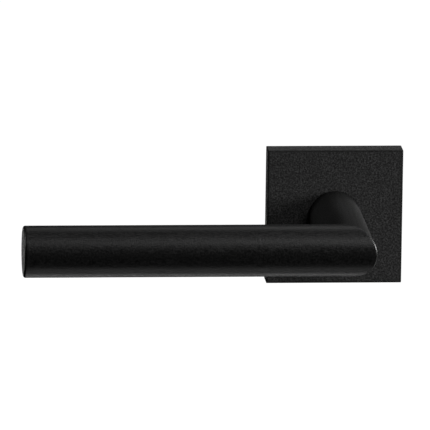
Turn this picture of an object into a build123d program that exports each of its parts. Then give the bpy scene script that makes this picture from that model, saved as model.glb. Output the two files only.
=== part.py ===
"""Lever door handle on a square rose, one side of a door set. Millimetres, +Z up.

Origin: where the spindle axis meets the door face. The door lies at +Y, the handle
stands out from it towards -Y, and the grip points towards -X.

Every height h below is a distance out from the door face (y = -h).
"""

import os

from build123d import *
from math import cos, radians, sin

os.makedirs("parts", exist_ok=True)

# Rose cover
ROSE_SIDE = 50.0
ROSE_DEPTH = 8.0
COVER_WALL = 1.5
COVER_EDGE = 0.35
COVER_INNER_CORNER = 0.8
NECK_HOLE_D = 19.24
NECK_RING_D = 22.4
NECK_RING_PLAY = 0.06
NECK_RING_LIP = 0.7

# Lever: two mitred lengths of one tube
TUBE_D = 19.0
TUBE_WALL = 1.5
GRIP_H = 64.0
GRIP_END_X = -119.0
CAP_THICKNESS = 1.5
CAP_SPIGOT = 5.0
CAP_EDGE = 0.8
CAP_LEAD_IN = 0.5

# Core of the neck, and the square spindle it drives
JOURNAL_D = 14.0
DRIVE_D = 16.0
DRIVE_FLATS = 14.2
CORE_BACK_H = -2.4
CORE_FRONT_H = 32.0
CORE_LEAD_IN = 0.6
JOURNAL_EDGE = 0.3
SHOULDER_H = 6.25
BORE_SIDE = 8.1
BORE_FRONT_H = 30.0
SPINDLE_SIDE = 8.0
SPINDLE_FRONT_H = 29.0
SPINDLE_BACK_H = -48.0
SPINDLE_END_EDGE = 0.6
SPINDLE_LONG_EDGE = 0.25
GRUB_D = 6.0
GRUB_H = 16.0
GRUB_OUTER_Z = -9.2
GRUB_SOCKET = 3.0
GRUB_SOCKET_DEPTH = 2.6

# Base plate
BASE_SIDE = 46.4
BASE_DEPTH = 6.2
BASE_FLOOR = 1.4
BASE_RIM = 1.6
BASE_CORNER = 1.2
POCKET_CORNER = 1.0
BOSS_R = 9.8
BOSS_H = 4.0
RECESS_R = 11.0
RECESS_H = 0.6
BOLT_SPACING = 38.0
BOLT_BOSS_R = 4.1
BOLT_BOSS_H = 4.5
BOLT_SEAT_H = 1.9
BOLT_HEAD_D = 7.0
BOLT_HEAD_DEPTH = 2.4
BOLT_HEAD_EDGE = 0.3
BOLT_HEAD_PLAY = 0.1
BOLT_RECESS = (4.2, 0.9)
BOLT_RECESS_DEPTH = 1.2
BOLT_D = 4.0
BOLT_BACK_H = -40.0
BOLT_TIP_EDGE = 0.5
BOLT_SHOULDER_D = 5.0
BOLT_SHOULDER_BACK_H = -8.2
SLEEVE_D = 7.8
SLEEVE_BORE_D = 5.2
SLEEVE_SEAT_H = 1.0
SLEEVE_BACK_H = -8.0
SCREW_XZ = 17.6
SCREW_BOSS_R = 4.4
SCREW_BOSS_H = 3.4
SCREW_D = 3.5
SCREW_TIP_H = -17.0
SCREW_TIP_R = 0.22
SCREW_POINT = 3.0
SCREW_POINT_TAPER = -27
SCREW_HEAD_BACK_H = 1.65
SCREW_HEAD_DEPTH = 1.6
SCREW_RECESS = (3.4, 0.8)
SCREW_RECESS_H = 2.05
SCREW_HOLE_D = 3.8
SCREW_SINK_DEPTH = 1.6
SINK_TAPER = -45

# Bearing and axial stack
BUSH_D = 17.0
BUSH_FLANGE_H = 4.5
WASHER_BORE_D = 14.1
WASHER_H = 0.5
PLAY = 0.05
RING_H = -1.65
RING_THICKNESS = 1.0
GROOVE_R = 6.6
GROOVE_PLAY = 0.05
RING_R = 8.6
RING_GAP = 2.2
LUG_AT_R = 8.5
LUG_ANGLES = (256, 284)
LUG_D = 3.0
LUG_HOLE_D = 1.3
BACK_WASHER_R = 10.5
DISH_INNER_R = 7.3
DISH_OUTER_R = 10.2
DISH_INNER_Y = 0.3
DISH_OUTER_Y = -0.05
DISH_THICKNESS = 0.35

# Return spring, the disc that winds it, and its two stops
WIRE_D = 1.3
COIL_R = 12.2
COIL_START_H = 2.15
COIL_PITCH = 1.42
LEG_R = 19.5
FIXED_LEG_ANGLE = 270.0
MOVING_LEG_ANGLE = 100.26
ANCHOR_R = 16.6
ANCHOR_LENGTH = 4.0
ANCHOR_WIDTH = 5.0
ANCHOR_DEPTH = 1.8
DISC_R = 15.0
DISC_BACK_H = 5.05
EAR_WIDTH = 5.0
EAR_R = 19.0
EAR_THICKNESS = 1.2
TAB_H = 1.8
PIN_D = 2.5
PIN_R = 18.4
PIN_TOP_H = 3.2
PIN_SEAT_H = 0.3
PIN_EDGE = 0.25
PIN_ANGLES = (77.92, 147.08)

# Leaf clips that grip the rose cover from inside
CLIP_SEAT = 22.4
CLIP_OFFSET = 9.5
CLIP_BACK_H = 2.0
CLIP_WIDTH = 3.4
CLIP_SEAT_WIDTH = 10.8
CLIP_SEAT_DEPTH = 2.0
CLIP_PLAY = 0.2
CLIP_THICKNESS = 0.4
CLIP_LINE = [(-5.2, 0.0), (-3.5, 0.0), (-1.1, 0.65), (1.1, 0.65), (3.5, 0.0), (5.2, 0.0)]

TUBE_R = TUBE_D / 2
BORE_R = TUBE_R - TUBE_WALL
COVER_INSIDE = ROSE_SIDE - 2 * COVER_WALL
POCKET_SIDE = BASE_SIDE - 2 * BASE_RIM
BOLT_PLACES = [(-BOLT_SPACING / 2, 0), (BOLT_SPACING / 2, 0)]
SCREW_PLACES = [(x, z) for x in (-SCREW_XZ, SCREW_XZ) for z in (-SCREW_XZ, SCREW_XZ)]
CLIP_PLACES = [
    Location((0, CLIP_SEAT, 0), (0, 0, 0)),
    Location((-CLIP_SEAT, CLIP_OFFSET, 0), (0, 0, 90)),
    Location((0, -CLIP_SEAT, 0), (0, 0, 180)),
    Location((CLIP_SEAT, -CLIP_OFFSET, 0), (0, 0, -90)),
]


def at(h):
    """The plane h out from the door: X to the right, Z up, extrudes away from the door."""
    return Plane.XZ.offset(h)


def polar(radius, degrees):
    """A point in the planes above, by radius and angle anticlockwise from +X."""
    return radius * cos(radians(degrees)), radius * sin(radians(degrees))


def mitre(towards_grip):
    """The 45 degree plane through the corner, facing the grip or facing the neck."""
    way = -1 if towards_grip else 1
    return Plane(origin=(0, -GRIP_H, 0), z_dir=(way, way, 0))


LUG_PLACES = [polar(LUG_AT_R, angle) for angle in LUG_ANGLES]
PIN_PLACES = [polar(PIN_R, angle) for angle in PIN_ANGLES]

# ---------------------------------------------------------------- lever

with BuildPart() as grip_tube:
    with BuildSketch(Plane.YZ.offset(GRIP_END_X + CAP_THICKNESS)):
        with Locations((-GRIP_H, 0)):
            Circle(TUBE_R)
            Circle(BORE_R, mode=Mode.SUBTRACT)
    extrude(amount=TUBE_D - GRIP_END_X)
    split(bisect_by=mitre(towards_grip=True), keep=Keep.TOP)
grip_tube.part.label = "grip_tube"
export_step(grip_tube.part, "parts/grip_tube.step")

with BuildPart() as neck_tube:
    with BuildSketch(at(SHOULDER_H)):
        Circle(TUBE_R)
        Circle(BORE_R, mode=Mode.SUBTRACT)
    extrude(amount=GRIP_H + TUBE_D)
    split(bisect_by=mitre(towards_grip=False), keep=Keep.TOP)
    with BuildSketch(Plane.XY.offset(-TUBE_D)):
        with Locations((0, -GRUB_H)):
            Circle(GRUB_D / 2)
    extrude(amount=TUBE_D, mode=Mode.SUBTRACT)
neck_tube.part.label = "neck_tube"
export_step(neck_tube.part, "parts/neck_tube.step")

with BuildPart() as grip_end_cap:
    with BuildSketch(Plane.YZ.offset(GRIP_END_X)):
        with Locations((-GRIP_H, 0)):
            Circle(TUBE_R)
    extrude(amount=CAP_THICKNESS)
    fillet(grip_end_cap.faces().sort_by(Axis.X)[0].edges(), CAP_EDGE)
    with BuildSketch(Plane.YZ.offset(GRIP_END_X + CAP_THICKNESS)):
        with Locations((-GRIP_H, 0)):
            Circle(BORE_R)
    extrude(amount=CAP_SPIGOT)
    chamfer(grip_end_cap.faces().sort_by(Axis.X)[-1].edges(), CAP_LEAD_IN)
grip_end_cap.part.label = "grip_end_cap"
export_step(grip_end_cap.part, "parts/grip_end_cap.step")

with BuildPart() as neck_core:
    with BuildSketch(at(SHOULDER_H)):
        Circle(BORE_R)
    extrude(amount=CORE_FRONT_H - SHOULDER_H)
    chamfer(neck_core.faces().sort_by(Axis.Y)[0].edges(), CORE_LEAD_IN)
    with BuildSketch(at(DISC_BACK_H)):
        Circle(DRIVE_D / 2)
        Rectangle(DRIVE_D, DRIVE_FLATS, mode=Mode.INTERSECT)
    extrude(amount=SHOULDER_H - DISC_BACK_H)
    with BuildSketch(at(CORE_BACK_H)):
        Circle(JOURNAL_D / 2)
    extrude(amount=DISC_BACK_H - CORE_BACK_H)
    chamfer(neck_core.faces().sort_by(Axis.Y)[-1].edges(), JOURNAL_EDGE)
    with BuildSketch(at(RING_H - GROOVE_PLAY)):
        Circle(JOURNAL_D / 2 + 1)
        Circle(GROOVE_R, mode=Mode.SUBTRACT)
    extrude(amount=RING_THICKNESS + 2 * GROOVE_PLAY, mode=Mode.SUBTRACT)
    with BuildSketch(at(CORE_BACK_H)):
        Rectangle(BORE_SIDE, BORE_SIDE)
    extrude(amount=BORE_FRONT_H - CORE_BACK_H, mode=Mode.SUBTRACT)
    with BuildSketch(Plane.XY.offset(-TUBE_R)):
        with Locations((0, -GRUB_H)):
            Circle(GRUB_D / 2)
    extrude(amount=TUBE_R, mode=Mode.SUBTRACT)
neck_core.part.label = "neck_core"
export_step(neck_core.part, "parts/neck_core.step")

with BuildPart() as grub_screw:
    with BuildSketch(Plane.XY.offset(GRUB_OUTER_Z)):
        with Locations((0, -GRUB_H)):
            Circle(GRUB_D / 2)
            RegularPolygon(GRUB_SOCKET / 2, 6, major_radius=False, mode=Mode.SUBTRACT)
    extrude(amount=GRUB_SOCKET_DEPTH)
    with BuildSketch(Plane.XY.offset(GRUB_OUTER_Z + GRUB_SOCKET_DEPTH)):
        with Locations((0, -GRUB_H)):
            Circle(GRUB_D / 2)
    extrude(amount=-GRUB_OUTER_Z - GRUB_SOCKET_DEPTH - SPINDLE_SIDE / 2)
grub_screw.part.label = "grub_screw"
export_step(grub_screw.part, "parts/grub_screw.step")

with BuildPart() as spindle:
    with BuildSketch(at(SPINDLE_BACK_H)):
        Rectangle(SPINDLE_SIDE, SPINDLE_SIDE)
    extrude(amount=SPINDLE_FRONT_H - SPINDLE_BACK_H)
    chamfer(spindle.faces().sort_by(Axis.Y)[0].edges(), SPINDLE_END_EDGE)
    chamfer(spindle.faces().sort_by(Axis.Y)[-1].edges(), SPINDLE_END_EDGE)
    chamfer(spindle.edges().filter_by(Axis.Y), SPINDLE_LONG_EDGE)
spindle.part.label = "spindle"
export_step(spindle.part, "parts/spindle.step")

with BuildPart() as driver_disc:
    with BuildSketch(at(DISC_BACK_H)):
        Circle(DISC_R)
        with Locations((0, EAR_R / 2)):
            Rectangle(EAR_WIDTH, EAR_R)
    extrude(amount=EAR_THICKNESS)
    with BuildSketch(at(TAB_H)):
        with Locations((0, EAR_R - EAR_THICKNESS / 2)):
            Rectangle(EAR_WIDTH, EAR_THICKNESS)
    extrude(amount=DISC_BACK_H - TAB_H)
    with BuildSketch(at(DISC_BACK_H)):
        Circle(DRIVE_D / 2)
        Rectangle(DRIVE_D, DRIVE_FLATS, mode=Mode.INTERSECT)
    extrude(amount=EAR_THICKNESS, mode=Mode.SUBTRACT)
driver_disc.part.label = "driver_disc"
export_step(driver_disc.part, "parts/driver_disc.step")

with BuildPart() as thrust_washer:
    with BuildSketch(at(BUSH_FLANGE_H + PLAY)):
        Circle(BOSS_R)
        Circle(WASHER_BORE_D / 2, mode=Mode.SUBTRACT)
    extrude(amount=WASHER_H)
thrust_washer.part.label = "thrust_washer"
export_step(thrust_washer.part, "parts/thrust_washer.step")

with BuildPart() as back_washer:
    with BuildSketch(at(RECESS_H - PLAY - WASHER_H)):
        Circle(BACK_WASHER_R)
        Circle(WASHER_BORE_D / 2, mode=Mode.SUBTRACT)
    extrude(amount=WASHER_H)
back_washer.part.label = "back_washer"
export_step(back_washer.part, "parts/back_washer.step")

with BuildPart() as disc_spring:
    with BuildSketch(Plane.XY):
        with BuildLine():
            Polyline(
                (DISH_INNER_R, DISH_INNER_Y + DISH_THICKNESS),
                (DISH_INNER_R, DISH_INNER_Y),
                (DISH_OUTER_R, DISH_OUTER_Y),
                (DISH_OUTER_R, DISH_OUTER_Y + DISH_THICKNESS),
                close=True,
            )
        make_face()
    revolve(axis=Axis.Y)
disc_spring.part.label = "disc_spring"
export_step(disc_spring.part, "parts/disc_spring.step")

with BuildPart() as retaining_ring:
    with BuildSketch(at(RING_H)):
        Circle(RING_R)
        with Locations(*LUG_PLACES):
            Circle(LUG_D / 2)
        Circle(GROOVE_R, mode=Mode.SUBTRACT)
        with Locations((0, -RING_R)):
            Rectangle(RING_GAP, LUG_D * 2, mode=Mode.SUBTRACT)
        with Locations(*LUG_PLACES):
            Circle(LUG_HOLE_D / 2, mode=Mode.SUBTRACT)
    extrude(amount=RING_THICKNESS)
retaining_ring.part.label = "retaining_ring"
export_step(retaining_ring.part, "parts/retaining_ring.step")

# ---------------------------------------------------------------- base, fixed to the door

with BuildPart() as base_plate:
    with BuildSketch(at(0)):
        RectangleRounded(BASE_SIDE, BASE_SIDE, BASE_CORNER)
    extrude(amount=BASE_DEPTH)
    with BuildSketch(at(BASE_FLOOR)):
        RectangleRounded(POCKET_SIDE, POCKET_SIDE, POCKET_CORNER)
    extrude(amount=BASE_DEPTH - BASE_FLOOR, mode=Mode.SUBTRACT)
    with BuildSketch(at(BASE_FLOOR)):
        Circle(BOSS_R)
    extrude(amount=BOSS_H - BASE_FLOOR)
    with BuildSketch(at(BASE_FLOOR)):
        with Locations(*BOLT_PLACES):
            Circle(BOLT_BOSS_R)
    extrude(amount=BOLT_BOSS_H - BASE_FLOOR)
    with BuildSketch(at(BASE_FLOOR)):
        with Locations(*SCREW_PLACES):
            Circle(SCREW_BOSS_R)
    extrude(amount=SCREW_BOSS_H - BASE_FLOOR)
    # spring anchor
    with BuildSketch(at(BASE_FLOOR)):
        with PolarLocations(ANCHOR_R, 1, start_angle=FIXED_LEG_ANGLE):
            Rectangle(ANCHOR_LENGTH, ANCHOR_WIDTH)
            Rectangle(ANCHOR_LENGTH, WIRE_D, mode=Mode.SUBTRACT)
    extrude(amount=ANCHOR_DEPTH)
    # seats for the clips, in the outside of the rim
    with BuildSketch(at(CLIP_BACK_H - CLIP_PLAY)):
        with Locations(*CLIP_PLACES):
            Rectangle(CLIP_SEAT_WIDTH, CLIP_SEAT_DEPTH, align=(Align.CENTER, Align.MIN))
    extrude(amount=CLIP_WIDTH + 2 * CLIP_PLAY, mode=Mode.SUBTRACT)
    # bearing bore and the recess behind it
    with BuildSketch(at(0)):
        Circle(RECESS_R)
    extrude(amount=RECESS_H, mode=Mode.SUBTRACT)
    with BuildSketch(at(0)):
        Circle(BUSH_D / 2)
    extrude(amount=BOSS_H, mode=Mode.SUBTRACT)
    # through bolt seats
    with BuildSketch(at(BOLT_SEAT_H)):
        with Locations(*BOLT_PLACES):
            Circle(BOLT_HEAD_D / 2 + BOLT_HEAD_PLAY)
    extrude(amount=BASE_DEPTH - BOLT_SEAT_H, mode=Mode.SUBTRACT)
    with BuildSketch(at(0)):
        with Locations(*BOLT_PLACES):
            Circle(SLEEVE_BORE_D / 2)
    extrude(amount=BASE_DEPTH, mode=Mode.SUBTRACT)
    with BuildSketch(at(0)):
        with Locations(*BOLT_PLACES):
            Circle(SLEEVE_D / 2)
    extrude(amount=SLEEVE_SEAT_H, mode=Mode.SUBTRACT)
    # countersunk screw holes
    with BuildSketch(at(0)):
        with Locations(*SCREW_PLACES):
            Circle(SCREW_HOLE_D / 2)
    extrude(amount=SCREW_BOSS_H, mode=Mode.SUBTRACT)
    with BuildSketch(at(SCREW_BOSS_H - SCREW_SINK_DEPTH)):
        with Locations(*SCREW_PLACES):
            Circle(SCREW_HOLE_D / 2)
    extrude(amount=SCREW_SINK_DEPTH, taper=SINK_TAPER, mode=Mode.SUBTRACT)
    # holes for the stop pins
    with BuildSketch(at(PIN_SEAT_H)):
        with Locations(*PIN_PLACES):
            Circle(PIN_D / 2)
    extrude(amount=BASE_FLOOR - PIN_SEAT_H, mode=Mode.SUBTRACT)
base_plate.part.label = "base_plate"
export_step(base_plate.part, "parts/base_plate.step")

with BuildPart() as bearing_bush:
    with BuildSketch(at(RECESS_H)):
        Circle(BUSH_D / 2)
    extrude(amount=BUSH_FLANGE_H - RECESS_H)
    with BuildSketch(at(BOSS_H)):
        Circle(BOSS_R)
    extrude(amount=BUSH_FLANGE_H - BOSS_H)
    with BuildSketch(at(RECESS_H)):
        Circle(WASHER_BORE_D / 2)
    extrude(amount=BUSH_FLANGE_H - RECESS_H, mode=Mode.SUBTRACT)
bearing_bush.part.label = "bearing_bush"
export_step(bearing_bush.part, "parts/bearing_bush.step")

with BuildPart() as bolt_sleeves:
    with BuildSketch(at(SLEEVE_BACK_H)):
        with Locations(*BOLT_PLACES):
            Circle(SLEEVE_D / 2)
            Circle(SLEEVE_BORE_D / 2, mode=Mode.SUBTRACT)
    extrude(amount=SLEEVE_SEAT_H - SLEEVE_BACK_H)
bolt_sleeves.part.label = "bolt_sleeves"
export_step(bolt_sleeves.part, "parts/bolt_sleeves.step")

with BuildPart() as through_bolts:
    with BuildSketch(at(BOLT_SEAT_H)):
        with Locations(*BOLT_PLACES):
            Circle(BOLT_HEAD_D / 2)
    extrude(amount=BOLT_HEAD_DEPTH)
    chamfer(through_bolts.faces().group_by(Axis.Y)[0].edges(), BOLT_HEAD_EDGE)
    with BuildSketch(at(BOLT_BACK_H)):
        with Locations(*BOLT_PLACES):
            Circle(BOLT_D / 2)
    extrude(amount=BOLT_SEAT_H - BOLT_BACK_H)
    chamfer(through_bolts.faces().group_by(Axis.Y)[-1].edges(), BOLT_TIP_EDGE)
    with BuildSketch(at(BOLT_SHOULDER_BACK_H)):
        with Locations(*BOLT_PLACES):
            Circle(BOLT_SHOULDER_D / 2)
    extrude(amount=BOLT_SEAT_H - BOLT_SHOULDER_BACK_H)
    with BuildSketch(at(BOLT_SEAT_H + BOLT_HEAD_DEPTH - BOLT_RECESS_DEPTH)):
        with Locations(*BOLT_PLACES):
            Rectangle(*BOLT_RECESS)
            Rectangle(*BOLT_RECESS[::-1])
    extrude(amount=BOLT_RECESS_DEPTH, mode=Mode.SUBTRACT)
through_bolts.part.label = "through_bolts"
export_step(through_bolts.part, "parts/through_bolts.step")

with BuildPart() as wood_screws:
    with BuildSketch(at(SCREW_TIP_H)):
        with Locations(*SCREW_PLACES):
            Circle(SCREW_TIP_R)
    extrude(amount=SCREW_POINT, taper=SCREW_POINT_TAPER)
    with BuildSketch(at(SCREW_TIP_H + SCREW_POINT)):
        with Locations(*SCREW_PLACES):
            Circle(SCREW_D / 2)
    extrude(amount=SCREW_HEAD_BACK_H - SCREW_TIP_H - SCREW_POINT)
    with BuildSketch(at(SCREW_HEAD_BACK_H)):
        with Locations(*SCREW_PLACES):
            Circle(SCREW_D / 2)
    extrude(amount=SCREW_HEAD_DEPTH, taper=SINK_TAPER)
    with BuildSketch(at(SCREW_RECESS_H)):
        with Locations(*SCREW_PLACES):
            Rectangle(*SCREW_RECESS)
            Rectangle(*SCREW_RECESS[::-1])
    extrude(amount=SCREW_HEAD_DEPTH, mode=Mode.SUBTRACT)
wood_screws.part.label = "wood_screws"
export_step(wood_screws.part, "parts/wood_screws.step")

with BuildPart() as stop_pins:
    with BuildSketch(at(PIN_SEAT_H)):
        with Locations(*PIN_PLACES):
            Circle(PIN_D / 2)
    extrude(amount=PIN_TOP_H - PIN_SEAT_H)
    chamfer(stop_pins.faces().group_by(Axis.Y)[0].edges(), PIN_EDGE)
stop_pins.part.label = "stop_pins"
export_step(stop_pins.part, "parts/stop_pins.step")

COIL_TURNS = (MOVING_LEG_ANGLE + 720 - FIXED_LEG_ANGLE) / 360
END_X, END_Z = polar(1, MOVING_LEG_ANGLE)

with BuildPart() as return_spring:
    with BuildLine() as coil:
        Helix(
            COIL_PITCH,
            COIL_PITCH * COIL_TURNS,
            COIL_R,
            center=(0, -COIL_START_H, 0),
            direction=(0, -1, 0),
        )
    with BuildSketch(Plane(origin=coil.line @ 0, z_dir=coil.line % 0)):
        Circle(WIRE_D / 2)
    sweep()
    with BuildSketch(Plane(origin=coil.line @ 0, z_dir=(0, 0, -1))):
        Circle(WIRE_D / 2)
    extrude(amount=LEG_R - 1.0 - COIL_R)
    with BuildSketch(Plane(origin=coil.line @ 1, z_dir=(END_X, 0, END_Z))):
        Circle(WIRE_D / 2)
    extrude(amount=LEG_R - COIL_R)
    with Locations(coil.line @ 0, coil.line @ 1):
        Sphere(WIRE_D / 2)
return_spring.part.label = "return_spring"
export_step(return_spring.part, "parts/return_spring.step")

with BuildPart() as cover_clips:
    with BuildSketch(at(CLIP_BACK_H)):
        with Locations(*CLIP_PLACES):
            Polygon(*CLIP_LINE, *[(x, z + CLIP_THICKNESS) for x, z in CLIP_LINE[::-1]], align=None)
    extrude(amount=CLIP_WIDTH)
cover_clips.part.label = "cover_clips"
export_step(cover_clips.part, "parts/cover_clips.step")

# ---------------------------------------------------------------- cover, slides on the neck

with BuildPart() as rose_cover:
    with BuildSketch(at(0)):
        Rectangle(ROSE_SIDE, ROSE_SIDE)
    extrude(amount=ROSE_DEPTH)
    fillet(rose_cover.edges().filter_by(Axis.Y), COVER_EDGE)
    fillet(rose_cover.faces().sort_by(Axis.Y)[0].edges(), COVER_EDGE)
    with BuildSketch(at(0)):
        RectangleRounded(COVER_INSIDE, COVER_INSIDE, COVER_INNER_CORNER)
    extrude(amount=ROSE_DEPTH - COVER_WALL, mode=Mode.SUBTRACT)
    with BuildSketch(at(0)):
        Circle(NECK_HOLE_D / 2)
    extrude(amount=ROSE_DEPTH, mode=Mode.SUBTRACT)
    with BuildSketch(at(0)):
        Circle(NECK_RING_D / 2)
    extrude(amount=ROSE_DEPTH - NECK_RING_LIP, mode=Mode.SUBTRACT)
rose_cover.part.label = "rose_cover"
export_step(rose_cover.part, "parts/rose_cover.step")

with BuildPart() as neck_ring:
    with BuildSketch(at(ROSE_DEPTH - COVER_WALL)):
        Circle(NECK_RING_D / 2)
        Circle(TUBE_R + NECK_RING_PLAY, mode=Mode.SUBTRACT)
    extrude(amount=COVER_WALL - NECK_RING_LIP)
neck_ring.part.label = "neck_ring"
export_step(neck_ring.part, "parts/neck_ring.step")
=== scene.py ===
"""Looks for a lever door handle on a square rose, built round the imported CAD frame."""

from math import cos, pi, radians, sin

import bmesh
import bpy
from mathutils import Matrix, Vector


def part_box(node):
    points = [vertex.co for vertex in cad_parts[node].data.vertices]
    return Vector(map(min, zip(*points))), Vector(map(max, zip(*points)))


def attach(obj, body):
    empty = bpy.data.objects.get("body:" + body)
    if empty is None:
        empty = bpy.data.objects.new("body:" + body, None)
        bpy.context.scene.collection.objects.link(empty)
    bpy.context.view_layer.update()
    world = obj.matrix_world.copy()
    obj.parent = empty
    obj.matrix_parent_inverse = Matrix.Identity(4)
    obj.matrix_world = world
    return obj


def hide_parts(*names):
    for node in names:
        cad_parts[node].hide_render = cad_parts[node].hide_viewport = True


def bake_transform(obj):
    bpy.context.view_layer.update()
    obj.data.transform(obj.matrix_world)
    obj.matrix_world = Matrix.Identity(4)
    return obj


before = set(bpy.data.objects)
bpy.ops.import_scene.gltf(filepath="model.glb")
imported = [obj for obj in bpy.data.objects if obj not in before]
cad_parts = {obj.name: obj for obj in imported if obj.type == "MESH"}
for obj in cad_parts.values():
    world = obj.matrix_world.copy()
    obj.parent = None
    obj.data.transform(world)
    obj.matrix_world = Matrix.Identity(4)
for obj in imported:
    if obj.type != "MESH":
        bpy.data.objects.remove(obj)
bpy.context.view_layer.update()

MM = 0.001
rose_low, rose_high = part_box("rose_cover")
ROSE_HALF, ROSE_FRONT = rose_high.x, rose_low.y


# ---------------------------------------------------------------- node helpers


class Shader:
    """A material's node tree, with short calls for the nodes used here."""

    def __init__(self, name):
        self.material = bpy.data.materials.new(name)
        self.material.use_nodes = True
        self.tree = self.material.node_tree
        self.bsdf = self.tree.nodes["Principled BSDF"]
        self.place = self.node("ShaderNodeTexCoord").outputs["Object"]

    def node(self, kind, **settings):
        made = self.tree.nodes.new(kind)
        for key, value in settings.items():
            setattr(made, key, value)
        return made

    def put(self, socket, value):
        """Links an output to a socket, or sets the socket's own value."""
        if isinstance(value, bpy.types.NodeSocket):
            self.tree.links.new(value, socket)
        else:
            socket.default_value = value

    def set(self, **values):
        """Sets the shader's sockets: base_color is Base Color, and so on."""
        for key, value in values.items():
            self.put(self.bsdf.inputs[key.replace("_", " ").title().replace("Ior", "IOR")], value)

    def noise(self, size, detail=2.0, rough=0.5, stretch=(1, 1, 1), distortion=0.0):
        """Noise with features about size metres across, 0 to 1 round 0.5."""
        mapped = self.node("ShaderNodeMapping")
        mapped.inputs["Scale"].default_value = [1 / (size * s) for s in stretch]
        self.put(mapped.inputs["Vector"], self.place)
        made = self.node("ShaderNodeTexNoise")
        self.put(made.inputs["Vector"], mapped.outputs["Vector"])
        self.put(made.inputs["Scale"], 1.0)
        self.put(made.inputs["Detail"], detail)
        self.put(made.inputs["Roughness"], rough)
        self.put(made.inputs["Distortion"], distortion)
        return made.outputs["Fac"]

    def remap(self, value, low, high, to_low, to_high):
        made = self.node("ShaderNodeMapRange", clamp=True)
        self.put(made.inputs["Value"], value)
        for key, number in zip(("From Min", "From Max", "To Min", "To Max"), (low, high, to_low, to_high)):
            self.put(made.inputs[key], number)
        return made.outputs["Result"]

    def math(self, operation, a, b=0.0):
        made = self.node("ShaderNodeMath", operation=operation)
        self.put(made.inputs[0], a)
        self.put(made.inputs[1], b)
        return made.outputs[0]

    def blend(self, factor, first, second):
        """Mixes two colours."""
        made = self.node("ShaderNodeMix", data_type="RGBA")
        sockets = [s for s in made.inputs if s.enabled]
        self.put(sockets[0], factor)
        self.put(sockets[1], first)
        self.put(sockets[2], second)
        return [s for s in made.outputs if s.enabled][0]

    def bump(self, height, strength, distance):
        made = self.node("ShaderNodeBump")
        self.put(made.inputs["Height"], height)
        self.put(made.inputs["Strength"], strength)
        self.put(made.inputs["Distance"], distance)
        self.put(self.bsdf.inputs["Normal"], made.outputs["Normal"])

    def edge(self, width):
        """1 on sharp edges, fading to 0 at about width metres from them."""
        rounded = self.node("ShaderNodeBevel", samples=4)
        self.put(rounded.inputs["Radius"], width)
        turn = self.node("ShaderNodeVectorMath", operation="DOT_PRODUCT")
        self.put(turn.inputs[0], rounded.outputs["Normal"])
        self.put(turn.inputs[1], self.node("ShaderNodeNewGeometry").outputs["Normal"])
        return self.remap(turn.outputs["Value"], 0.80, 0.995, 1.0, 0.0)


def grey(value, warmth=0.0):
    """A colour with alpha, warmer for a positive warmth."""
    return (value * (1 + warmth), value, value * (1 - warmth), 1.0)


# ---------------------------------------------------------------- materials


def lever_coat():
    """Satin black powder coat with a very fine texture, and a painted highlight that makes its edges a little
    lighter.
    """
    s = Shader("lever_coat")
    grain = s.noise(0.50 * MM, detail=2.0, rough=0.6)
    patches = s.noise(9 * MM, detail=2.0)
    coat = s.blend(patches, grey(0.0012), grey(0.0026))
    coat = s.blend(s.remap(grain, 0.44, 0.64, 0.0, 1.0), coat, grey(0.0110))
    # The lighter colour on the edges is a painted highlight.
    s.set(
        base_color=s.blend(s.edge(0.45 * MM), coat, grey(0.014)),
        roughness=s.remap(grain, 0.35, 0.65, 0.28, 0.50),
        specular_ior_level=0.5,
    )
    s.bump(grain, 0.7, 0.10 * MM)
    return s.material


def rose_coat():
    """The same coat with the coarser, sparkling texture of the rose, and painted shade along the front edge.
    """
    s = Shader("rose_coat")
    grain = s.noise(0.78 * MM, detail=3.0, rough=0.7)
    specks = s.noise(0.62 * MM, detail=2.0, rough=0.7)
    cloud = s.noise(3.0 * MM, detail=2.0)
    coat = s.blend(s.remap(specks, 0.40, 0.66, 0.0, 1.0), grey(0.005), grey(0.072))
    coat = s.blend(s.remap(cloud, 0.35, 0.65, 0.0, 0.30), coat, grey(0.016))
    apart = s.node("ShaderNodeSeparateXYZ")
    s.put(apart.inputs[0], s.place)
    x, y, z = apart.outputs
    reach = s.math("MAXIMUM", s.math("ABSOLUTE", x), s.math("ABSOLUTE", z))
    # Painted shade: a dark band along the front edge stands in for the dark reflection of the edge break.
    painted_edge_shade = s.math(
        "MULTIPLY",
        s.remap(reach, ROSE_HALF - 0.85 * MM, ROSE_HALF - 0.40 * MM, 0.0, 1.0),
        s.remap(y, ROSE_FRONT + 0.55 * MM, ROSE_FRONT + 0.35 * MM, 0.0, 1.0),
    )
    s.set(
        base_color=s.blend(s.math("MULTIPLY", painted_edge_shade, 0.85), coat, grey(0.003)),
        roughness=s.remap(grain, 0.3, 0.7, 0.52, 0.66),
        specular_ior_level=0.35,
    )
    s.bump(grain, 0.8, 0.16 * MM)
    return s.material


def plated(name, tone, rough=(0.25, 0.4), warmth=0.0, marks=None):
    """Plated or bare metal: cloudy patches, tool marks stretched along marks, brighter edges."""
    s = Shader(name)
    cloud = s.noise(5 * MM, detail=3.0)
    grain = s.noise(0.35 * MM, detail=3.0, rough=0.6, stretch=marks or (1, 1, 1))
    stain = s.noise(2.4 * MM, detail=3.0, rough=0.6)
    metal = s.blend(cloud, grey(tone * 0.80, warmth), grey(tone * 1.10, warmth))
    metal = s.blend(s.remap(stain, 0.50, 0.75, 0.0, 0.35), metal, grey(tone * 0.60, warmth))
    s.set(
        base_color=s.blend(s.edge(0.25 * MM), metal, grey(min(0.8, tone * 1.4), warmth)),
        metallic=1.0,
        roughness=s.remap(grain, 0.3, 0.7, *rough),
    )
    s.bump(grain, 0.35, 0.03 * MM)
    return s.material


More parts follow.
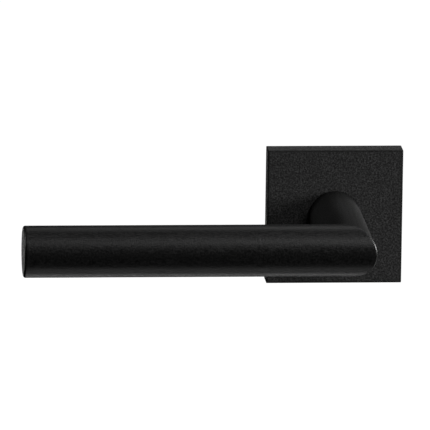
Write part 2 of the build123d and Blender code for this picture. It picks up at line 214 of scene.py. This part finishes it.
def die_cast():
    """Die-cast zinc: dull, mottled skin with shallow flow ripples and small pits."""
    s = Shader("die_cast_zinc")
    skin = s.noise(0.9 * MM, detail=4.0, rough=0.65)
    flow = s.noise(7 * MM, detail=2.0, distortion=1.5)
    pits = s.noise(0.45 * MM, detail=1.0)
    metal = s.blend(flow, grey(0.27, 0.01), grey(0.42, 0.01))
    metal = s.blend(s.remap(pits, 0.66, 0.74, 0.0, 0.7), metal, grey(0.10))
    s.set(
        base_color=s.blend(s.edge(0.35 * MM), metal, grey(0.60)),
        metallic=1.0,
        roughness=s.remap(skin, 0.3, 0.7, 0.42, 0.64),
    )
    s.bump(s.math("SUBTRACT", skin, s.remap(pits, 0.64, 0.74, 0.0, 0.6)), 0.6, 0.06 * MM)
    return s.material


def moulded(name, low, high, rough=(0.45, 0.6)):
    """Moulded nylon with a fine spark-eroded texture."""
    s = Shader(name)
    grain = s.noise(0.35 * MM, detail=2.0, rough=0.6)
    tint = s.noise(6 * MM, detail=2.0)
    s.set(
        base_color=s.blend(tint, low, high),
        roughness=s.remap(grain, 0.3, 0.7, *rough),
    )
    s.bump(grain, 0.3, 0.03 * MM)
    return s.material


MATERIALS = {
    "lever_coat": lever_coat(),
    "rose_coat": rose_coat(),
    "turned_steel": plated("turned_steel", 0.50, (0.20, 0.34), marks=(6, 0.5, 6)),
    "dark_steel": plated("dark_steel", 0.09, (0.35, 0.5)),
    "zinc_plate": plated("zinc_plate", 0.58, (0.24, 0.38), warmth=-0.02),
    "die_cast_zinc": die_cast(),
    "spring_steel": plated("spring_steel", 0.26, (0.25, 0.4), marks=(4, 1, 4)),
    "nylon": moulded("nylon", (0.66, 0.63, 0.55, 1.0), (0.76, 0.73, 0.66, 1.0)),
    "black_nylon": moulded("black_nylon", grey(0.010), grey(0.018), (0.5, 0.65)),
}

NODE_MATERIALS = {
    "grip_tube": "lever_coat",
    "neck_tube": "lever_coat",
    "grip_end_cap": "lever_coat",
    "rose_cover": "rose_coat",
    "neck_ring": "black_nylon",
    "neck_core": "turned_steel",
    "grub_screw": "dark_steel",
    "spindle": "zinc_plate",
    "driver_disc": "zinc_plate",
    "thrust_washer": "nylon",
    "back_washer": "zinc_plate",
    "disc_spring": "spring_steel",
    "retaining_ring": "spring_steel",
    "base_plate": "die_cast_zinc",
    "bearing_bush": "nylon",
    "bolt_sleeves": "zinc_plate",
    "through_bolts": "zinc_plate",
    "wood_screws": "zinc_plate",
    "stop_pins": "turned_steel",
    "return_spring": "spring_steel",
    "cover_clips": "spring_steel",
}

for node, name in NODE_MATERIALS.items():
    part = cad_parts[node]
    part.data.materials.clear()
    part.data.materials.append(MATERIALS[name])

# ---------------------------------------------------------------- mesh helpers


def circle(count):
    """Evenly spaced angles, once round."""
    return [2 * pi * i / count for i in range(count)]


def loft(bm, rings, around=False, capped=False):
    """Quads between rings of points. Around joins the last ring to the first, capped closes both ends."""
    rows = [[bm.verts.new(point) for point in ring] for ring in rings]
    pairs = list(zip(rows, rows[1:])) + ([(rows[-1], rows[0])] if around else [])
    for near, far in pairs:
        for i in range(len(near)):
            j = (i + 1) % len(near)
            bm.faces.new((near[i], near[j], far[j], far[i]))
    if capped:
        bm.faces.new(rows[0])
        bm.faces.new(rows[-1])


def solid(name, bm):
    """A Blender object from closed shells, with its faces turned outwards."""
    bmesh.ops.recalc_face_normals(bm, faces=bm.faces)
    mesh = bpy.data.meshes.new(name)
    bm.to_mesh(mesh)
    bm.free()
    made = bpy.data.objects.new(name, mesh)
    bpy.context.scene.collection.objects.link(made)
    return made


def cut(piece, cutter):
    """Takes the cutter's shape out of the piece for good."""
    boolean = piece.modifiers.new("cut", "BOOLEAN")
    boolean.operation, boolean.solver, boolean.object = "DIFFERENCE", "EXACT", cutter
    graph = bpy.context.evaluated_depsgraph_get()
    mesh = bpy.data.meshes.new_from_object(piece.evaluated_get(graph))
    piece.modifiers.clear()
    piece.data = mesh
    bpy.data.objects.remove(cutter)


def finished(piece, node, body=None, crease=32):
    """Smooth but for edges over crease degrees, in the node's material and the node's place."""
    bm = bmesh.new()
    bm.from_mesh(piece.data)
    for face in bm.faces:
        face.smooth = True
    for edge in bm.edges:
        edge.smooth = edge.is_manifold and edge.calc_face_angle() < radians(crease)
    bm.to_mesh(piece.data)
    bm.free()
    piece.data.materials.clear()
    piece.data.materials.append(MATERIALS[NODE_MATERIALS[node]])
    if body:
        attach(piece, body)
    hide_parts(node)
    return piece


def arc(centre, radius, start, end, steps):
    """Points of an arc, angles in degrees."""
    angles = [radians(start + (end - start) * i / steps) for i in range(steps + 1)]
    return [(centre[0] + radius * cos(a), centre[1] + radius * sin(a)) for a in angles]


# ---------------------------------------------------------------- lever tube

_, neck_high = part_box("neck_tube")
grip_low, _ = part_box("grip_tube")
cap_low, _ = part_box("grip_end_cap")
grub_low, grub_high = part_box("grub_screw")
TUBE_R = neck_high.z
WALL = 1.5 * MM
GRIP_Y = grip_low.y + TUBE_R
AROUND = 144
MITRE_ROUND = 0.5 * MM
END_ROUND = 0.8 * MM
CAP_SPIGOT = 5 * MM
SPIGOT_PLAY = 0.02 * MM


def run_lines(radius, rounding, length, place):
    """Rings along one leg of the lever, from its far end to the mitre plane.

    Each point lies on a straight line of the tube, named by side and z. The lines of the two legs
    meet in pairs on the mitre plane, where rounding takes off the corner. Place turns side, the
    distance back from the corner and the distance in from the line into x and y.
    """
    near = rounding + 3 * MM
    steps = [lambda side, t=t / 24: (length(side) * (1 - t) + near * t, 0.0) for t in range(25)]
    steps += [lambda side, d=d * MM: (rounding + d, 0.0) for d in (1.5, 0.8, 0.4, 0.15)]
    for i in range(6 if rounding else 0):
        bend = radians(45 * i / 5)
        steps.append(lambda side, a=bend: (rounding * (1 - sin(a)), rounding * (1 - cos(a))))
    if not rounding:
        steps.append(lambda side: (0.0, 0.0))
    return [
        [(*place(radius * cos(a), *step(radius * cos(a))), radius * sin(a)) for a in circle(AROUND)]
        for step in steps
    ]


def leg(name, length, place):
    bm = bmesh.new()
    outside = run_lines(TUBE_R, MITRE_ROUND, length, place)
    inside = run_lines(TUBE_R - WALL, 0.0, length, place)
    loft(bm, outside + inside[::-1], around=True)
    return solid(name, bm)


def grip_run():
    grip = leg(
        "grip_run",
        lambda side: side - grip_low.x,
        lambda side, back, inward: (side - back, GRIP_Y - side + inward),
    )
    finished(grip, "grip_tube", "lever")


def neck_run():
    """The neck, with the grub screw's hole drilled up into it."""
    neck = leg(
        "neck_run",
        lambda side: neck_high.y - (GRIP_Y - side),
        lambda side, back, inward: (side - inward, GRIP_Y - side + back),
    )
    hole_r = grub_high.x
    hole_y = (grub_low.y + grub_high.y) / 2
    drill = bmesh.new()
    ends = (-TUBE_R - WALL, -TUBE_R / 2)
    rings = [[(hole_r * cos(a), hole_y + hole_r * sin(a), z) for a in circle(64)] for z in ends]
    loft(drill, rings, capped=True)
    cut(neck, solid("drill", drill))
    finished(neck, "neck_tube", "lever")


def end_cap():
    """The grip's flat end with a rounded edge, and the spigot that plugs it into the tube."""
    face, seat = cap_low.x, grip_low.x
    spigot_r = TUBE_R - WALL - SPIGOT_PLAY
    profile = [(face, r * MM) for r in (1.0, 3.0, 5.0, 7.0, 8.3)]
    profile += arc((face + END_ROUND, TUBE_R - END_ROUND), END_ROUND, 180, 90, 8)
    profile += [(seat - 0.3 * MM, TUBE_R), (seat, TUBE_R), (seat, spigot_r)]
    profile += [(seat + CAP_SPIGOT - 0.5 * MM, spigot_r)]
    profile += [(seat + CAP_SPIGOT, TUBE_R - WALL - 0.5 * MM)]
    bm = bmesh.new()
    rings = [[(x, GRIP_Y - r * cos(a), r * sin(a)) for a in circle(AROUND)] for x, r in profile]
    loft(bm, rings, capped=True)
    finished(solid("end_cap", bm), "grip_end_cap", "lever")


grip_run()
neck_run()
end_cap()

# ---------------------------------------------------------------- bolts and screws


def threaded(bm, x, z, stations, pitch, depth, around=48):
    """A closed right-hand screw along Y, from (y, radius, how much thread) stations in mm."""
    rings = []
    for y, radius, amount in stations:
        ring = []
        for i in range(around):
            crest = abs(2 * ((y / pitch + i / around) % 1) - 1)
            r = radius - depth * amount * min(1, max(0, (crest - 0.12) / 0.76))
            angle = 2 * pi * i / around
            ring.append((x + r * MM * cos(angle), y * MM, z + r * MM * sin(angle)))
        rings.append(ring)
    loft(bm, rings, capped=True)


def thread_run(start, end, step, radius, lead):
    """Thread stations from start to end, rising to full depth over lead."""
    count = round((end - start) / step)
    ys = [start + (end - start) * i / count for i in range(count + 1)]
    return [(y, radius(y), min(1, (y - start) / lead)) for y in ys]


def cross_cutter(places, front, width, arm, depth):
    """A cross recess that narrows with depth, at each place, in mm."""
    w, a = width / 2, arm / 2
    outline = [(w, w), (w, a), (-w, a), (-w, w), (-a, w), (-a, -w), (-w, -w), (-w, -a), (w, -a), (w, -w)]
    outline += [(a, -w), (a, w)]
    levels = [(front - 0.5, 1.12), (front, 1.0), (front + depth * 0.8, 0.62), (front + depth, 0.3)]
    bm = bmesh.new()
    for x, z in places:
        rings = []
        for y, scale in levels:
            rings.append([(x + u * scale * MM, y * MM, z + v * scale * MM) for u, v in outline])
        loft(bm, rings, capped=True)
    return solid("recess", bm)


bolt_low, bolt_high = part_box("through_bolts")
BOLT_PITCH, BOLT_R, SHOULDER_R, BOLT_HEAD_R = 0.7, 2.0, 2.5, 3.5
BOLT_FRONT, BOLT_TIP = bolt_low.y / MM, bolt_high.y / MM
BOLT_SEAT, SHOULDER_END = -1.9, 8.2

screw_low, screw_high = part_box("wood_screws")
SCREW_PITCH, SCREW_R, SCREW_HEAD_R = 1.4, 1.75, 3.35
SCREW_FRONT, SCREW_TIP = screw_low.y / MM, screw_high.y / MM
SCREW_NECK, SCREW_THREAD, SCREW_POINT = -1.65, -0.2, 3.4


def machine_bolts():
    """Two pan-head bolts with a plain shoulder in the sleeve and a fine thread behind it."""
    stations = [(BOLT_FRONT, r, 0) for r in (1.6, 2.9)]
    stations += [(BOLT_FRONT + a, BOLT_HEAD_R - b, 0) for a, b in ((0.06, 0.3), (0.18, 0.1), (0.4, 0.0))]
    stations += [(BOLT_SEAT - 0.05, BOLT_HEAD_R, 0), (BOLT_SEAT, BOLT_HEAD_R - 0.05, 0)]
    stations += [(BOLT_SEAT, SHOULDER_R, 0), (SHOULDER_END - 0.1, SHOULDER_R, 0)]
    stations += [(SHOULDER_END, SHOULDER_R - 0.1, 0)]
    stations += thread_run(
        SHOULDER_END, BOLT_TIP, BOLT_PITCH / 8, lambda y: min(BOLT_R, BOLT_R - 0.45 + (BOLT_TIP - y)), 0.8
    )
    at = bolt_high.x - BOLT_HEAD_R * MM
    places = [(-at, 0), (at, 0)]
    bm = bmesh.new()
    for x, z in places:
        threaded(bm, x, z, stations, BOLT_PITCH, 0.4)
    bolts = solid("machine_bolts", bm)
    cut(bolts, cross_cutter(places, BOLT_FRONT, 0.95, 4.2, 1.5))
    finished(bolts, "through_bolts", "base", crease=60)


def countersunk_screws():
    """Four wood screws with a coarse thread that runs out in a point."""
    stations = [(SCREW_FRONT, r, 0) for r in (1.5, 2.7)]
    stations += [(SCREW_FRONT + 0.03, 3.1, 0), (SCREW_FRONT + 0.12, 3.22, 0), (SCREW_NECK, SCREW_R, 0)]
    stations += [(SCREW_NECK + 0.6, 1.5, 0), (SCREW_THREAD - 0.1, 1.5, 0)]
    stations += thread_run(
        SCREW_THREAD,
        SCREW_TIP,
        SCREW_PITCH / 12,
        lambda y: 0.18 + (SCREW_R - 0.18) * min(1, (SCREW_TIP - y) / SCREW_POINT),
        1.2,
    )
    stations = [(y, r, amount * min(1, r / SCREW_R)) for y, r, amount in stations]
    at = screw_high.x - SCREW_HEAD_R * MM
    places = [(x, z) for x in (-at, at) for z in (-at, at)]
    bm = bmesh.new()
    for x, z in places:
        threaded(bm, x, z, stations, SCREW_PITCH, 0.55, around=40)
    screws = solid("countersunk_screws", bm)
    cut(screws, cross_cutter(places, SCREW_FRONT, 0.85, 3.6, 1.5))
    finished(screws, "wood_screws", "base", crease=60)


machine_bolts()
countersunk_screws()

# ---------------------------------------------------------------- return spring

WIRE_R = 0.65
COIL_R, COIL_START_H, COIL_PITCH = 12.2, 2.15, 1.42
FIXED_LEG, MOVING_LEG, COIL_TURNS = 270.0, 100.26, 1.5285
FIXED_LEG_R, MOVING_LEG_R = 18.5, 19.5
COIL_END_H = COIL_START_H + COIL_PITCH * COIL_TURNS
STEP = 0.25
SMOOTHING = 30
END_BREAK = 0.12


def coil_point(radius, degrees, h):
    return Vector((radius * cos(radians(degrees)), -h, radius * sin(radians(degrees))))


def leg_points(degrees, h, reach):
    """Points out along a leg of the spring, from the coil."""
    count = round((reach - COIL_R) / STEP)
    return [coil_point(COIL_R + (reach - COIL_R) * i / count, degrees, h) for i in range(1, count + 1)]


def spring_line():
    """The wire's centre line: fixed leg, coil and moving leg, with the two bends smoothed."""
    count = round(COIL_TURNS * 2 * pi * COIL_R / STEP)
    rise = COIL_END_H - COIL_START_H
    line = leg_points(FIXED_LEG, COIL_START_H, FIXED_LEG_R)[::-1]
    for i in range(count + 1):
        done = i / count
        line.append(coil_point(COIL_R, FIXED_LEG + 360 * COIL_TURNS * done, COIL_START_H + rise * done))
    line += leg_points(MOVING_LEG, COIL_END_H, MOVING_LEG_R)
    for _ in range(SMOOTHING):
        line = [line[0]] + [(a + b * 2 + c) / 4 for a, b, c in zip(line, line[1:], line[2:])] + [line[-1]]
    return line


def torsion_spring():
    """Round wire along the centre line."""
    line = spring_line()
    last = len(line) - 1
    rings = []
    for i, point in enumerate(line):
        ahead = (line[min(i + 1, last)] - line[max(i - 1, 0)]).normalized()
        side = ahead.cross(Vector((0, 1, 0))).normalized()
        up = side.cross(ahead)
        r = WIRE_R - (END_BREAK if i in (0, last) else 0)
        rings.append([(point + (side * cos(a) + up * sin(a)) * r) * MM for a in circle(20)])
    bm = bmesh.new()
    loft(bm, rings, capped=True)
    coil = finished(solid("torsion_spring", bm), "return_spring", crease=50)
    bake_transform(coil)


torsion_spring()

# ---------------------------------------------------------------- floor, light and camera


def floor_material():
    """White floor for the eye. Light passes through it, and so does sight from below."""
    s = Shader("stage_white")
    s.set(
        base_color=s.blend(s.noise(0.4, detail=2.0), grey(0.80), grey(0.84)),
        roughness=0.7,
        emission_color=grey(1.0),
        emission_strength=1.0,
    )
    clear = s.node("ShaderNodeBsdfTransparent")
    mix = s.node("ShaderNodeMixShader")
    sight = s.node("ShaderNodeLightPath").outputs["Is Camera Ray"]
    back = s.node("ShaderNodeNewGeometry").outputs["Backfacing"]
    s.put(mix.inputs[0], s.math("SUBTRACT", sight, back))
    s.put(mix.inputs[1], clear.outputs["BSDF"])
    s.put(mix.inputs[2], s.bsdf.outputs["BSDF"])
    s.put(s.tree.nodes["Material Output"].inputs["Surface"], mix.outputs["Shader"])
    return s.material


def stage_floor(height, half):
    mesh = bpy.data.meshes.new("floor")
    corners = [(x * half, y * half, height) for x, y in ((-1, -1), (1, -1), (1, 1), (-1, 1))]
    mesh.from_pydata(corners, [], [(0, 1, 2, 3)])
    floor = bpy.data.objects.new("floor", mesh)
    bpy.context.scene.collection.objects.link(floor)
    floor.data.materials.append(floor_material())


def white_world():
    """A white world for the eye, which gives no light."""
    world = bpy.data.worlds.new("world")
    bpy.context.scene.world = world
    world.use_nodes = True
    tree = world.node_tree
    background = tree.nodes["Background"]
    background.inputs["Color"].default_value = (1, 1, 1, 1)
    path = tree.nodes.new("ShaderNodeLightPath")
    tree.links.new(path.outputs["Is Camera Ray"], background.inputs["Strength"])


def softbox(name, azimuth, elevation, width, power):
    """A round soft light, width metres across, aimed at the handle. Azimuth 0 is in front, 90 right of it."""
    a, e = radians(azimuth), radians(elevation)
    lamp = bpy.data.lights.new(name, "AREA")
    lamp.shape = "DISK"
    lamp.size = width
    lamp.energy = power
    light = bpy.data.objects.new(name, lamp)
    bpy.context.scene.collection.objects.link(light)
    away = Vector((sin(a) * cos(e), -cos(a) * cos(e), sin(e)))
    light.location = away * LIGHT_DISTANCE
    light.rotation_euler = away.to_track_quat("Z", "Y").to_euler()


LIGHT_DISTANCE = 2.0
FLOOR_HEIGHT, FLOOR_HALF = -0.9, 12.0

AZIMUTH, ELEVATION, ROLL = radians(-5.06), radians(12.54), radians(0.84)
TARGET = Vector((-44.25, -8.0, 0.85)) * MM
DISTANCE = 4.955
LENS = 1128.0

camera_data = bpy.data.cameras.new("camera")
camera_data.lens = LENS
camera_data.clip_end = 100.0
camera = bpy.data.objects.new("camera", camera_data)
bpy.context.scene.collection.objects.link(camera)
towards = Vector((-sin(AZIMUTH) * cos(ELEVATION), cos(AZIMUTH) * cos(ELEVATION), -sin(ELEVATION)))
camera.location = TARGET - towards * DISTANCE
camera.rotation_mode = "QUATERNION"
camera.rotation_quaternion = towards.to_track_quat("-Z", "Y") @ Matrix.Rotation(ROLL, 4, "Z").to_quaternion()
bpy.context.scene.camera = camera

bpy.context.scene.view_settings.view_transform = "Standard"

white_world()
stage_floor(FLOOR_HEIGHT, FLOOR_HALF)
softbox("right_side", 105, 20, 0.8, 45)
softbox("right_front", 65, 12, 0.8, 28)
softbox("front_top", 35, 45, 1.0, 10)
softbox("high_right", 75, 60, 0.8, 5)
softbox("high_back", 165, 50, 0.8, 1.5)
softbox("left_side", -105, 20, 0.8, 7)
softbox("back_low", 180, -12, 0.8, 2)
softbox("below_right", 90, -45, 0.8, 7)
softbox("below_back", 180, -60, 0.8, 2)
softbox("below_front", 0, -80, 0.8, 1.5)
